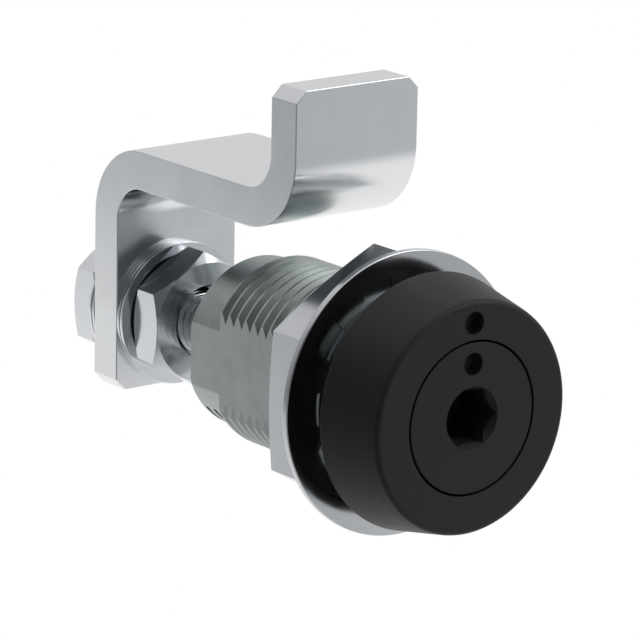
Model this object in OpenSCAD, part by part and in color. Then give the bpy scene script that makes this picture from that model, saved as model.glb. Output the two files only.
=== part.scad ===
// Compression latch worked by an 8 mm hex key: a quarter turn swings the pawl
// behind the frame, and a further quarter turn draws it in by pull_travel.
// The latch lies along Y. The panel face under the head is y = 0, the head
// points to -Y, the pawl points up along +Z and is drawn in and closed.

/* [Head trim] */
// Reach of the head past the crest of the housing's thread, over the panel
head_lip = 4.8; // [4.4:0.1:7]
// Depth of the head in front of the panel
head_depth = 11; // [10.5:0.25:13]
// Narrowing of the trim's radius from its back rim to its front
trim_taper = 2.1; // [0.8:0.1:2.6]
// Radius of the trim's rounded front edge
trim_edge_r = 1.2; // [0.6:0.1:1.5]
// Side wall of the trim
trim_wall = 1.6; // [1.2:0.1:2]
// Front wall of the trim
trim_front_wall = 2.5; // [2:0.1:3]

/* [Key plug] */
// Radius of the plug's face
plug_r = 11.25; // [10.75:0.05:11.75]
// Radius of the plug's stem, where it passes through the web of the housing
stem_r = 8.5; // [8:0.1:8.8]
// Size of the hex recess across its flats
key_af = 8; // [6:0.5:8.5]
// Depth of the hex recess
key_depth = 8; // [6:0.5:8]
// Chamfer round the mouth of the hex recess
key_chamfer = 0.75; // [0.4:0.05:1.2]
// Diameter of the two position dots
dot_d = 3.4; // [2.4:0.1:3.6]
// Depth of the two position dots
dot_depth = 1.5; // [0.8:0.1:1.8]
// Section diameter of the plug's O-ring
o_ring_d = 1.7; // [1.2:0.1:2]
// Width of the tongue that drives the cam sleeve
tongue_w = 6; // [4:0.5:8]

/* [Housing] */
// Crest radius of the housing's thread
thread_r = 14.7; // [14.2:0.1:15]
// Distance across the two flats of the shank
shank_af = 24.8; // [24:0.1:26]
// Length of the plain boss behind the thread
boss_len = 7.3; // [5:0.1:10]
// Radius of the plain boss behind the thread
boss_r = 13.3; // [12.9:0.1:14]
// Wall left in the housing behind the circlip's groove
rear_lip = 0.6; // [0.5:0.1:2]
// Width of the two short slots under the boss
boss_slot_w = 0.5; // [0.3:0.1:1]
// Radius of the main bore
bore_r = 10.4; // [10:0.1:10.6]
// Thickness of the web between the plug and the cam sleeve
web_t = 4; // [3:0.25:5]
// Thickness of the panel gasket
gasket_t = 1; // [0.6:0.1:1.5]

/* [Mounting nut] */
// Panel thickness, from the head to the flange of the nut
panel_t = 4.7; // [1:0.1:8]
// Radius of the nut's flange
flange_r = 21.5; // [21:0.1:22.5]
// Thickness of the flange at its rim
flange_t = 1.1; // [0.8:0.1:2]
// Rise of the flange's cone from its rim to the hex
flange_rise = 0.7; // [0.3:0.1:1.5]
// Size of the nut across its flats
nut_af = 36.4; // [34:0.1:37]
// Thickness of the nut with its flange
nut_t = 8.6; // [6:0.1:10]
// Number of grip pockets in the flange's front face
pockets = 10; // [6:1:14]
// Depth of the grip pockets
pocket_depth = 0.5; // [0.3:0.1:0.8]

/* [Cam drive] */
// Travel of the shaft when the latch pulls in
pull_travel = 6; // [4:0.5:7]
// Radius of the cross pin
pin_r = 2; // [1.5:0.1:2.2]
// Thickness of the cam sleeve's front wall
sleeve_front_wall = 3; // [2:0.25:3.5]
// Length of the guide bush
bush_len = 5.55; // [4:0.05:8]
// Radius reached by the stop lug of the guide bush
lug_r = 11.45; // [11:0.05:11.7]
// Turn of the pawl between its two stops
swing_angle = 90; // [60:5:120]
// Wire diameter of the return spring
spring_wire = 1.2; // [0.8:0.1:1.4]
// Number of turns of the return spring
spring_turns = 5; // [3:1:6]

/* [Shaft] */
// Radius of the shaft
shaft_r = 5.2; // [5:0.1:6]
// Distance across the two flats of the shaft
shaft_af = 9.5; // [8.5:0.1:10.5]
// Free end of the shaft behind the rear nut
shaft_end = 1.7; // [0.5:0.1:5]

/* [Pawl] */
// Front face of the pawl's leg, behind the panel face
leg_y = 61.4; // [60:0.1:64]
// Thickness of the pawl's plate
plate_t = 6; // [4:0.5:7]
// Height of the web's outer face above the shaft axis
web_z = 27.9; // [27.5:0.1:32]
// Height of the tab's tip above the shaft axis
tip_z = 44.1; // [42:0.1:50]
// Front face of the tab, behind the panel face
tab_y = 16.9; // [15:0.1:24]
// Inner radius of the two bends
bend_r = 4.1; // [2:0.1:5]
// Corner chamfers of the foot and the tip
corner = 1.8; // [0.5:0.1:3]
// Size of the pawl nuts across their flats
jam_af = 19; // [18:0.5:20]
// Step from the pawl nuts' corners out to the washers and the pawl's edges
nut_margin = 0.33; // [0.1:0.01:1]
// Thickness of the pawl nuts
jam_t = 6.65; // [5:0.05:7]
// Thickness of the pawl washers
washer_t = 1.5; // [1:0.1:2]

/* [Fits] */
// Radial clearance of turning and sliding fits
run_gap = 0.08; // [0.05:0.01:0.1]
// Radial clearance of seats that don't move
seat_gap = 0.05; // [0.03:0.01:0.08]
// Clearance of turning faces along the axis
end_gap = 0.05; // [0.03:0.01:0.1]
// Visible ring gap round the plug
ring_gap = 0.3; // [0.2:0.05:0.4]

/* [Hidden] */
$fn = 96;
// A cutter reaches this far past the face that it cuts
past = 1;

// Head: the trim is a tapered cup over the housing's tapered head
trim_r = thread_r + head_lip;
front_y = -head_depth;
head_y = front_y + trim_front_wall + seat_gap;
function trim_outer(y) = trim_r + trim_taper * y / head_depth;
function trim_inner(y) = trim_outer(y) - trim_wall;
rim_edge = 0.5;
taper_turn = atan(trim_taper / head_depth);

// Plug: its shoulder stops on the web, its clip holds it from behind
web_front_y = -2.5;
web_back_y = web_front_y + web_t;
pocket_r = plug_r + ring_gap - seat_gap;
shoulder_y = web_front_y - end_gap;
clip_t = 1;
clip_y = web_back_y + end_gap;
clip_groove = clip_t + end_gap;
clip_depth = 0.9;
clip_r = bore_r - 0.5;
stem_y = clip_y + clip_groove + 2.4;
dot_z = (plug_r + key_af / 2) / 2 + 0.45;
trim_dot_z = plug_r + 2.9;
o_ring_y = (head_y + shoulder_y) / 2;
o_ring_r = pocket_r - o_ring_d / 2 - seat_gap;

// Cam sleeve and what runs inside it
sleeve_r = bore_r - run_gap;
sleeve_bore = shaft_r + 0.25;
sleeve_y = stem_y + end_gap;
tongue_end = sleeve_y + sleeve_front_wall - end_gap;
sleeve_floor = sleeve_y + sleeve_front_wall;
seat_t = 0.8;
seat_y = sleeve_floor + end_gap;
spring_y = seat_y + seat_t + end_gap;
spring_len = 9;
spring_pocket_end = spring_y + spring_len + end_gap;
shaft_y = seat_y + seat_t + 0.65;
spring_pocket_r = shaft_r - 1.3;
spring_r = spring_pocket_r - spring_wire / 2 - 0.15;
pin_y = spring_pocket_end + pin_r + 1.5;
pin_len = 2 * (sleeve_r - 0.3);
slot_gap = 0.25;
slot_step = 7.5;
slot_turn = 90;
sleeve_end = pin_y + pull_travel + pin_r + slot_gap + 1.85;

// Stack behind the cam sleeve, held by the circlip
thrust_t = 1;
thrust_y = sleeve_end + end_gap;
bush_y = thrust_y + thrust_t + end_gap;
bush_end = bush_y + bush_len;
wave_t = 0.5;
wave_y = bush_end + end_gap;
circlip_t = 1;
circlip_y = wave_y + wave_t + end_gap;
circlip_r = bore_r + 0.75;
circlip_w = 1.9;
shank_len = circlip_y + circlip_t + end_gap + rear_lip;
thread_len = shank_len - boss_len;
boss_slot_pitch = 1.95;
boss_slot_y = shank_len - 1.2;
boss_slot_half = 50;
boss_slot_depth = 0.9;
lug_half = 10;
lug_play = 0.5;
lug_turn = swing_angle / 2;
stop_half = lug_turn + lug_half + lug_play;
stop_r = lug_r + 2 * run_gap;
flats_y = bush_y - pull_travel - 0.5;

// Nuts, washers and pawl on the shaft
washer_r = jam_af / sqrt(3) + nut_margin;
pawl_w = 2 * washer_r;
foot_z = washer_r;
front_washer_y = leg_y - washer_t;
front_nut_y = front_washer_y - jam_t;
rear_washer_y = leg_y + plate_t;
rear_nut_y = rear_washer_y + washer_t;
shaft_rear = rear_nut_y + jam_t + shaft_end;
jam_bore = shaft_r + seat_gap;
hole_chamfer = 0.5;
shaft_chamfer = 1;

// Mounting nut
rim_y = panel_t + flange_t;
hex_y = rim_y + flange_rise;
nut_end = panel_t + nut_t;
mount_bore = thread_r + run_gap;
pocket_turn = 18;

// Step for the gasket in the head's underside
gasket_in = thread_r + 0.6;
gasket_out = trim_inner(-gasket_t);

steel_colour = [0.72, 0.73, 0.74];
zinc_colour = [0.55, 0.57, 0.57];
black_colour = [0.17, 0.17, 0.175];
brass_colour = [0.72, 0.55, 0.3];

// Turns and lifts a shape that stands on the XY plane so that it lies along +Y from y
module along(y) translate([0, y, 0]) rotate([-90, 0, 0]) children();

// Round bar along Y
module bar(r, y0, y1) along(y0) cylinder(r=r, h=y1 - y0);

// Round bar along Y with one radius at each end
module taper(r0, r1, y0, y1) along(y0) cylinder(r1=r0, r2=r1, h=y1 - y0);

// Flat ring along Y
module ring(r_in, r_out, y0, y1) {
    difference() {
        bar(r_out, y0, y1);
        bar(r_in, y0 - past, y1 + past);
    }
}

// Sector about Y, centred on +Z, with the given half angle
module sector(r, half, y0, y1) {
    reach = r / cos(half / 2) + past;
    along(y0) linear_extrude(y1 - y0)
        polygon([[0, 0], for (i = [-2:2]) reach * [sin(i * half / 2), -cos(i * half / 2)]]);
}

// Slab that leaves only what lies between two flats, across X or across Z
module flats(af, y0, y1, across_x) {
    wide = 4 * flange_r;
    translate([across_x ? -af / 2 : -wide / 2, y0, across_x ? -wide / 2 : -af / 2])
        cube([across_x ? af : wide, y1 - y0, across_x ? wide : af]);
}

// Hexagonal bar along Y, with corners up and down
module hex_bar(af, y0, y1) along(y0) rotate([0, 0, 90]) cylinder(r=af / sqrt(3), h=y1 - y0, $fn=6);

// Hole for the shaft with its two flats, as in the bush and the pawl
module keyed_hole(y0, y1, gap) {
    intersection() {
        bar(shaft_r + gap, y0, y1);
        flats(shaft_af + 2 * gap, y0, y1, false);
    }
}

// Die-cast body: tapered head, flatted shank, stepped bore
module housing() {
    color(zinc_colour) difference() {
        union() {
            taper(trim_inner(head_y) - seat_gap, trim_inner(0) - seat_gap, head_y, 0);
            intersection() {
                union() {
                    bar(thread_r, -past, thread_len);
                    bar(boss_r, thread_len, shank_len);
                }
                flats(shank_af, -past, shank_len, true);
            }
        }
        bar(pocket_r, head_y - past, web_front_y);
        bar(stem_r + run_gap, web_front_y - past, web_back_y + past);
        bar(bore_r, web_back_y, shank_len + past);
        bar(circlip_r + seat_gap, circlip_y - end_gap, circlip_y + circlip_t + end_gap);
        intersection() {
            bar(stop_r, bush_y - end_gap, shank_len + past);
            sector(stop_r, stop_half, bush_y - end_gap, shank_len + past);
        }
        ring(gasket_in, gasket_out + 1, -gasket_t, past);
        for (i = [0, 1]) boss_slot(boss_slot_y - i * boss_slot_pitch);
    }
}

// One short slot across the underside of the boss, centred at y
module boss_slot(y) {
    intersection() {
        ring(boss_r - boss_slot_depth, boss_r + past, y - boss_slot_w / 2, y + boss_slot_w / 2);
        rotate([0, 180, 0]) sector(boss_r + past, boss_slot_half, y - past, y + past);
    }
}

// Black cap over the head, with the dot that shows the closed position
module head_trim() {
    rim_turn = 90 + taper_turn;
    edge_turn = 90 - taper_turn;
    edge_y = front_y + trim_edge_r;
    color(black_colour) difference() {
        along(0) rotate_extrude() polygon([
            [trim_inner(0), 0],
            for (i = [0:4]) [trim_outer(-rim_edge) - rim_edge / cos(taper_turn), -rim_edge]
                + rim_edge * [sin(rim_turn * i / 4), cos(rim_turn * i / 4)],
            for (i = [0:6]) [trim_outer(edge_y) - trim_edge_r / cos(taper_turn), edge_y]
                + trim_edge_r * [sin(rim_turn + edge_turn * i / 6), cos(rim_turn + edge_turn * i / 6)],
            [plug_r + ring_gap, front_y],
            [plug_r + ring_gap, head_y - seat_gap],
            [trim_inner(head_y - seat_gap), head_y - seat_gap]
        ]);
        translate([0, 0, trim_dot_z]) dot();
    }
}

// Round recess for a position dot, with a small step at its floor
module dot() {
    bar(dot_d / 2, front_y - past, front_y + dot_depth);
    bar(dot_d / 2 - 0.4, front_y, front_y + dot_depth + 0.3);
}

// Flat seal under the head, inside the trim
module panel_gasket() {
    color(black_colour) ring(gasket_in + seat_gap, gasket_out - seat_gap, seat_gap - gasket_t, 0);
}

// Hex nut with a wide flange and grip pockets towards the panel
module mounting_nut() {
    corner_r = nut_af / sqrt(3);
    color(steel_colour) difference() {
        union() {
            bar(flange_r, panel_t, rim_y);
            taper(flange_r, nut_af / 2, rim_y - 0.001, hex_y);
            intersection() {
                hex_bar(nut_af, panel_t + flange_t / 2, nut_end);
                along(panel_t) rotate_extrude() polygon([
                    [0, 0], [flange_r, 0], [flange_r, flange_t], [corner_r, flange_t],
                    [corner_r, nut_t - 0.87], [nut_af / 2 - 0.2, nut_t], [0, nut_t]
                ]);
            }
        }
        bar(mount_bore, panel_t - past, nut_end + past);
        taper(mount_bore + 0.8, mount_bore, nut_end - 0.8, nut_end + 0.001);
        for (i = [0:pockets - 1]) rotate([0, i * 360 / pockets, 0]) grip_pocket();
    }
}

// One shallow pocket in the front face of the flange
module grip_pocket() {
    intersection() {
        ring(thread_r + 1, flange_r - 3.1, panel_t - past, panel_t + pocket_depth);
        sector(flange_r, pocket_turn / 2, panel_t - 2 * past, panel_t + pocket_depth + past);
    }
}

// Internal circlip with its gap and two eyes at the bottom
module bush_circlip() {
    eye_r = 1.5;
    eye_turn = 16;
    eye_at = circlip_r - eye_r - seat_gap;
    color(steel_colour) difference() {
        union() {
            difference() {
                ring(circlip_r - circlip_w, circlip_r, circlip_y, circlip_y + circlip_t);
                rotate([0, 180, 0]) sector(circlip_r, eye_turn, circlip_y - past, circlip_y + circlip_t + past);
            }
            for (side = [-1, 1]) rotate([0, 180 + side * eye_turn, 0]) translate([0, 0, eye_at])
                bar(eye_r, circlip_y, circlip_y + circlip_t);
        }
        for (side = [-1, 1]) rotate([0, 180 + side * eye_turn, 0]) translate([0, 0, eye_at])
            bar(eye_r / 2, circlip_y - past, circlip_y + circlip_t + past);
    }
}

// Spring washer that keeps the bush from turning too freely, drawn flat
module wave_washer() {
    color(steel_colour) ring(shaft_r + 1, bore_r - 0.4, wave_y, wave_y + wave_t);
}

// Bush that turns with the pawl between two stops and keeps the shaft from turning in it
module guide_bush() {
    color(steel_colour) difference() {
        union() {
            bar(bore_r - run_gap, bush_y, bush_end);
            rotate([0, lug_turn, 0]) intersection() {
                bar(lug_r, bush_y, bush_end);
                sector(lug_r, lug_half, bush_y, bush_end);
            }
        }
        keyed_hole(bush_y - past, bush_end + past, run_gap);
    }
}

// Bearing washer between the cam sleeve and the bush
module thrust_washer() {
    color(brass_colour) ring(shaft_r + 0.3, bore_r - 2 * run_gap, thrust_y, thrust_y + thrust_t);
}

// Black plug that the key turns, with its stem and driving tongue
module drive_plug() {
    color(black_colour) difference() {
        union() {
            bar(plug_r, front_y, shoulder_y);
            bar(stem_r, shoulder_y - past, stem_y);
            intersection() {
                bar(stem_r, stem_y - past, tongue_end);
                flats(tongue_w, stem_y - past, tongue_end, true);
            }
        }
        along(front_y - past) cylinder(r=key_af / sqrt(3), h=key_depth + past, $fn=6);
        taper(key_af / 2 + key_chamfer, key_af / 2 - 0.1, front_y, front_y + key_chamfer + 0.1);
        translate([0, 0, dot_z]) dot();
        ring(o_ring_r - o_ring_d / 2 - seat_gap, plug_r + past,
             o_ring_y - o_ring_d / 2 - seat_gap, o_ring_y + o_ring_d / 2 + seat_gap);
        ring(stem_r - clip_depth, stem_r + past, clip_y - end_gap / 2, clip_y + clip_groove);
    }
}

// Seal between the plug and the housing
module plug_o_ring() {
    color(black_colour) along(o_ring_y) rotate_extrude() translate([o_ring_r, 0]) circle(d=o_ring_d);
}

// Open ring in the stem's groove that holds the plug behind the web
module plug_clip() {
    color(steel_colour) difference() {
        ring(stem_r - clip_depth + seat_gap, clip_r, clip_y, clip_y + clip_t);
        sector(clip_r, 25, clip_y - past, clip_y + clip_t + past);
    }
}

// Washer under the front end of the return spring
module spring_seat() {
    color(steel_colour) ring(2, sleeve_bore - run_gap, seat_y, seat_y + seat_t);
}

// Sleeve turned by the plug, with two helical slots that draw the cross pin along
module cam_sleeve() {
    color(zinc_colour) difference() {
        bar(sleeve_r, sleeve_y, sleeve_end);
        bar(sleeve_bore, sleeve_floor, sleeve_end + past);
        flats(tongue_w + 2 * run_gap, sleeve_y - past, sleeve_floor, true);
        for (turn = [0:slot_step:slot_turn]) rotate([0, turn, 0])
            translate([0, pin_y + pull_travel * turn / slot_turn, 0]) rotate([0, 90, 0])
                cylinder(r=pin_r + slot_gap, h=3 * sleeve_r, center=true);
    }
}

// Threaded shaft with two flats, a spring pocket in front and a cross hole for the pin
module shaft() {
    color(steel_colour) difference() {
        intersection() {
            union() {
                bar(shaft_r, shaft_y, shaft_rear - shaft_chamfer);
                taper(shaft_r, shaft_r - shaft_chamfer, shaft_rear - shaft_chamfer, shaft_rear);
            }
            union() {
                bar(2 * shaft_r, shaft_y - past, flats_y);
                flats(shaft_af, flats_y, shaft_rear + past, false);
            }
        }
        bar(spring_pocket_r, shaft_y - past, spring_pocket_end);
        translate([0, pin_y, 0]) rotate([0, 90, 0])
            cylinder(r=pin_r + seat_gap / 2, h=3 * shaft_r, center=true);
    }
}

// Pin through the shaft that rides in both cam slots
module cross_pin() {
    color(steel_colour) translate([0, pin_y, 0]) rotate([0, 90, 0]) cylinder(r=pin_r, h=pin_len, center=true);
}

// Coil spring that pushes the shaft out to the open position
module return_spring() {
    steps = 16 * spring_turns;
    rise = spring_len - spring_wire;
    sides = 8;
    function coil(i) = let (a = 360 * spring_turns * i / steps)
        [spring_r * cos(a), spring_y + spring_wire / 2 + rise * i / steps, spring_r * sin(a)];
    function out(i) = let (a = 360 * spring_turns * i / steps) [cos(a), 0, sin(a)];
    points = [for (i = [0:steps]) for (s = [0:sides - 1])
        coil(i) + spring_wire / 2 * (cos(360 * s / sides) * out(i) + sin(360 * s / sides) * [0, 1, 0])];
    walls = [for (i = [0:steps - 1]) for (s = [0:sides - 1]) let (t = (s + 1) % sides)
        [i * sides + s, i * sides + t, (i + 1) * sides + t, (i + 1) * sides + s]];
    first = [for (s = [sides - 1:-1:0]) s];
    last = [for (s = [0:sides - 1]) steps * sides + s];
    color(steel_colour) polyhedron(points, concat(walls, [first, last]));
}

// Hex nut with chamfered corners on both faces
module jam_nut(y) {
    corner_r = jam_af / sqrt(3);
    rise = (corner_r - jam_af / 2) * 0.75;
    face_r = jam_af / 2 - 0.1;
    color(steel_colour) difference() {
        intersection() {
            hex_bar(jam_af, y, y + jam_t);
            along(y) rotate_extrude() polygon([
                [0, 0], [face_r, 0], [corner_r, rise], [corner_r, jam_t - rise], [face_r, jam_t], [0, jam_t]
            ]);
        }
        bar(jam_bore, y - past, y + jam_t + past);
        taper(jam_bore + hole_chamfer + 0.001, jam_bore, y - 0.001, y + hole_chamfer);
        taper(jam_bore, jam_bore + hole_chamfer + 0.001, y + jam_t - hole_chamfer, y + jam_t + 0.001);
    }
}

// Flat washer on the shaft
module pawl_washer(y) color(steel_colour) ring(jam_bore, washer_r, y, y + washer_t);

module front_pawl_nut() jam_nut(front_nut_y);
module front_pawl_washer() pawl_washer(front_washer_y);
module rear_pawl_washer() pawl_washer(rear_washer_y);
module rear_pawl_nut() jam_nut(rear_nut_y);

// Cut for one bend: what lies outside the bend's arc, centred at a point of the side view.
// The outer side of the bend points to sy along Y and to sz along Z.
module bend_corner(y, z, r, sy, sz) {
    difference() {
        translate([-pawl_w, sy > 0 ? y : y - r - past, sz > 0 ? z : z - r - past])
            cube([2 * pawl_w, r + past, r + past]);
        translate([-2 * pawl_w, y, z]) rotate([0, 90, 0]) cylinder(r=r, h=4 * pawl_w);
    }
}

// Fillet for the inner side of one bend
module bend_fillet(y, z, r, sy, sz) {
    difference() {
        translate([-pawl_w / 2, sy > 0 ? y : y - r, sz > 0 ? z : z - r]) cube([pawl_w, r, r]);
        translate([-pawl_w, y, z]) rotate([0, 90, 0]) cylinder(r=r, h=2 * pawl_w);
    }
}

// Chamfered corners of a plate end, on both sides, at height z and pointing to sz
module end_corners(y, z, sz) {
    for (side = [-1, 1]) translate([side * pawl_w / 2, y - past, z]) rotate([0, 45, 0])
        translate([-corner / sqrt(2), 0, -corner / sqrt(2)])
            cube([corner * sqrt(2), plate_t + 2 * past, corner * sqrt(2)]);
}

// Plate pawl bent twice: a leg on the shaft, a web over the housing, a tab behind the frame
module pawl() {
    outer = bend_r + plate_t;
    leg_back = leg_y + plate_t;
    web_low = web_z - plate_t;
    tab_back = tab_y + plate_t;
    color(steel_colour) difference() {
        union() {
            translate([-pawl_w / 2, leg_y, -foot_z]) cube([pawl_w, plate_t, foot_z + web_z]);
            translate([-pawl_w / 2, tab_y, web_low]) cube([pawl_w, leg_back - tab_y, plate_t]);
            translate([-pawl_w / 2, tab_y, web_low]) cube([pawl_w, plate_t, tip_z - web_low]);
            bend_fillet(leg_back - outer, web_z - outer, bend_r, 1, 1);
            bend_fillet(tab_y + outer, web_low + outer, bend_r, -1, -1);
        }
        bend_corner(leg_back - outer, web_z - outer, outer, 1, 1);
        bend_corner(tab_y + outer, web_low + outer, outer, -1, -1);
        end_corners(leg_y, -foot_z, -1);
        end_corners(tab_y, tip_z, 1);
        keyed_hole(leg_y - past, leg_back + past, seat_gap);
    }
}

housing();
head_trim();
panel_gasket();
mounting_nut();
bush_circlip();
wave_washer();
guide_bush();
thrust_washer();
drive_plug();
plug_o_ring();
plug_clip();
spring_seat();
cam_sleeve();
shaft();
cross_pin();
return_spring();
front_pawl_nut();
front_pawl_washer();
pawl();
rear_pawl_washer();
rear_pawl_nut();
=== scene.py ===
"""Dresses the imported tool-operated latch: real threads, rounded edges, finishes, studio and camera.

Pieces are modelled in millimetres round the latch axis, which is Y, and brought to metres by seat().
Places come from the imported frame, so a piece lies where the CAD node that it stands for lies.
"""

import logging
import math
from collections.abc import Callable, Iterator, Sequence
from contextlib import contextmanager
from dataclasses import dataclass, replace
from enum import Enum

import bmesh
import bpy
from mathutils import Matrix, Vector

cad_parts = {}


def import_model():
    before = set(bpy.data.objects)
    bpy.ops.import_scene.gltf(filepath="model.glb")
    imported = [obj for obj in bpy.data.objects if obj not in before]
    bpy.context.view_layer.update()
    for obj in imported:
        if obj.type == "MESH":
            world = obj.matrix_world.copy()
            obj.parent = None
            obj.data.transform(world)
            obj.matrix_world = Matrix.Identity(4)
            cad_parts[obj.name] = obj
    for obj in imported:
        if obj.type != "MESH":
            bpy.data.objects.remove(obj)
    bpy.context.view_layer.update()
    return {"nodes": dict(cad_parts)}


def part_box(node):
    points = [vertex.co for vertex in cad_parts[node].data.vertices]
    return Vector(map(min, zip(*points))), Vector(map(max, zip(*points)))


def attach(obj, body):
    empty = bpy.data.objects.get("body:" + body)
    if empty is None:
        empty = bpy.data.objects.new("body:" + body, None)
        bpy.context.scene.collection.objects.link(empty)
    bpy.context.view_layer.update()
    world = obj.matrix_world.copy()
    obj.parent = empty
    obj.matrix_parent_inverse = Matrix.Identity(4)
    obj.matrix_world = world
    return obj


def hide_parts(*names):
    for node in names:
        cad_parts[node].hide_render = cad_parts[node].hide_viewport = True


log = logging.getLogger("latch")

Piece = bpy.types.Object
Tree = bpy.types.NodeTree
Socket = bpy.types.NodeSocket
Triple = tuple[float, float, float]
Colour = tuple[float, float, float, float]
Point = tuple[float, float]
Line = list[Point]
Corners = Sequence[tuple[float, ...]]

# One millimetre in metres
MM = 0.001
# Reach of a cutter past what it cuts, in millimetres
PAST = 1.0
# Points closer than this are one point, in millimetres
SAME = 0.0005
# Faces that meet at less than this are shaded as one round face
SMOOTH_ANGLE = math.radians(32)
# Edges that turn by more than this are broken, with this many segments across
SHARP_ANGLE = math.radians(35)
EDGE_STEPS = 3
# Steps in a full turn, and the fewest in part of one
ROUND_STEPS = 128
SECTOR_STEPS = 6
# Steps in a rounded corner
CORNER_STEPS = 4
# Weight of large faces in the shading, which keeps flat faces flat
FLAT_WEIGHT = 90
# Noise behind a finish's patches, the span of it that shows, and the noise behind its grain
PATCH_DETAIL = 3.0
PATCH_ROUGHNESS = 0.55
PATCH_SPAN = (0.36, 0.64)
GRAIN_DETAIL = 2.0
GRAIN_ROUGHNESS = 0.5
# Painted shade on the casting's head under its trim, black, sRGB hex
HEAD_PAINTED_SHADE = "161617"


class Cut(Enum):
    """How a tool piece acts on the piece that it is combined with."""

    AWAY = "DIFFERENCE"
    JOIN = "UNION"
    KEEP = "INTERSECT"


@dataclass(frozen=True)
class Place:
    """Where a CAD node lies, in millimetres.

    Args:
        front: Lowest Y, towards the head.
        back: Highest Y, towards the inside of the cabinet.
        side: Highest X.
        low: Lowest Z.
        high: Highest Z.
    """

    front: float
    back: float
    side: float
    low: float
    high: float

    @classmethod
    def of(cls, node: str) -> "Place":
        """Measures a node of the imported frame.

        Args:
            node: Name of the CAD node.

        Returns:
            The node's place.
        """
        low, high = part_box(node)
        return cls(low.y / MM, high.y / MM, high.x / MM, low.z / MM, high.z / MM)


def deselect() -> None:
    """Deselects every object."""
    for other in list(bpy.context.selected_objects):
        other.select_set(False)


def pick(piece: Piece) -> None:
    """Makes one object the only selected and active one.

    Args:
        piece: The object to work on.
    """
    deselect()
    piece.select_set(True)
    bpy.context.view_layer.objects.active = piece


@contextmanager
def shaping(piece: Piece) -> Iterator[bmesh.types.BMesh]:
    """Opens a piece in edit mode and closes it again.

    Args:
        piece: The object to shape.

    Yields:
        Its mesh, for selecting parts by place.
    """
    pick(piece)
    bpy.ops.object.mode_set(mode="EDIT")
    mesh = bmesh.from_edit_mesh(piece.data)
    mesh.select_mode = {"VERT"}
    try:
        yield mesh
    finally:
        bpy.ops.object.mode_set(mode="OBJECT")


def named(name: str) -> Piece:
    """Names the object that an operator has just added.

    Args:
        name: The new name.

    Returns:
        The object.
    """
    piece = bpy.context.object
    piece.name = name
    piece.data.name = name
    return piece


def settle() -> None:
    """Applies the place, turn and size of the picked object to its mesh."""
    bpy.ops.object.transform_apply(location=True, rotation=True, scale=True)


def added(name: str, shape: Callable[..., set[str]], **settings: object) -> Piece:
    """Adds a simple mesh.

    Args:
        name: Its name.
        shape: The operator that adds it.
        settings: The operator's settings.

    Returns:
        The new piece.
    """
    deselect()
    shape(**settings)
    piece = named(name)
    settle()
    return piece


def placed(piece: Piece, step: Triple = (0, 0, 0), turn: Triple = (0, 0, 0)) -> None:
    """Turns and moves a piece and applies both to its mesh.

    Args:
        piece: The piece.
        step: The move, in millimetres.
        turn: The turn about X, Y and Z, in degrees.
    """
    pick(piece)
    piece.location = step
    piece.rotation_euler = [math.radians(angle) for angle in turn]
    settle()


def modified(piece: Piece, kind: str, **settings: object) -> None:
    """Adds a modifier to a piece and applies it.

    Args:
        piece: The piece.
        kind: Type of the modifier.
        settings: Its settings.
    """
    modifier = piece.modifiers.new(kind, kind)
    for key, value in settings.items():
        setattr(modifier, key, value)
    pick(piece)
    bpy.ops.object.modifier_apply(modifier=modifier.name)


def closed_up(piece: Piece, fill: bool = False) -> None:
    """Merges doubled points, fills open ends where asked, and points the faces outwards.

    Args:
        piece: The piece to close.
        fill: Whether open ends are filled.
    """
    with shaping(piece):
        bpy.ops.mesh.select_all(action="SELECT")
        bpy.ops.mesh.remove_doubles(threshold=SAME)
        if fill:
            bpy.ops.mesh.fill_holes(sides=0)
            bpy.ops.mesh.select_all(action="SELECT")
        bpy.ops.mesh.normals_make_consistent(inside=False)


def copied(piece: Piece, name: str) -> Piece:
    """Copies a piece with a mesh of its own.

    Args:
        piece: The piece to copy.
        name: Name of the copy.

    Returns:
        The copy.
    """
    pick(piece)
    bpy.ops.object.duplicate(linked=False)
    return named(name)


def trimmed(piece: Piece, at: Triple, outward: Triple) -> None:
    """Saws off what lies past a plane and closes the cut.

    Args:
        piece: The piece to saw.
        at: A point of the plane.
        outward: Its normal, towards what is taken off.
    """
    with shaping(piece):
        bpy.ops.mesh.select_all(action="SELECT")
        bpy.ops.mesh.bisect(plane_co=at, plane_no=outward, use_fill=True, clear_outer=True)


def combine(piece: Piece, tool: Piece, how: Cut) -> None:
    """Joins a tool piece to a piece, or cuts with it, and deletes the tool.

    Args:
        piece: The piece that stays.
        tool: The piece that is used up.
        how: What the tool does.
    """
    modified(piece, "BOOLEAN", operation=how.value, solver="EXACT", object=tool)
    deselect()
    bpy.data.objects.remove(tool, do_unlink=True)


def arc(centre: Point, radius: float, first: float, last: float, steps: int) -> Line:
    """Points on an arc of a drawn line.

    Args:
        centre: Centre of the arc.
        radius: Its radius.
        first: Angle of the first point, in degrees from the first axis.
        last: Angle of the last point.
        steps: Number of steps between them.

    Returns:
        The points, with both ends.
    """
    turns = [math.radians(first + (last - first) * i / steps) for i in range(steps + 1)]
    return [(centre[0] + radius * math.cos(t), centre[1] + radius * math.sin(t)) for t in turns]


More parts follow.
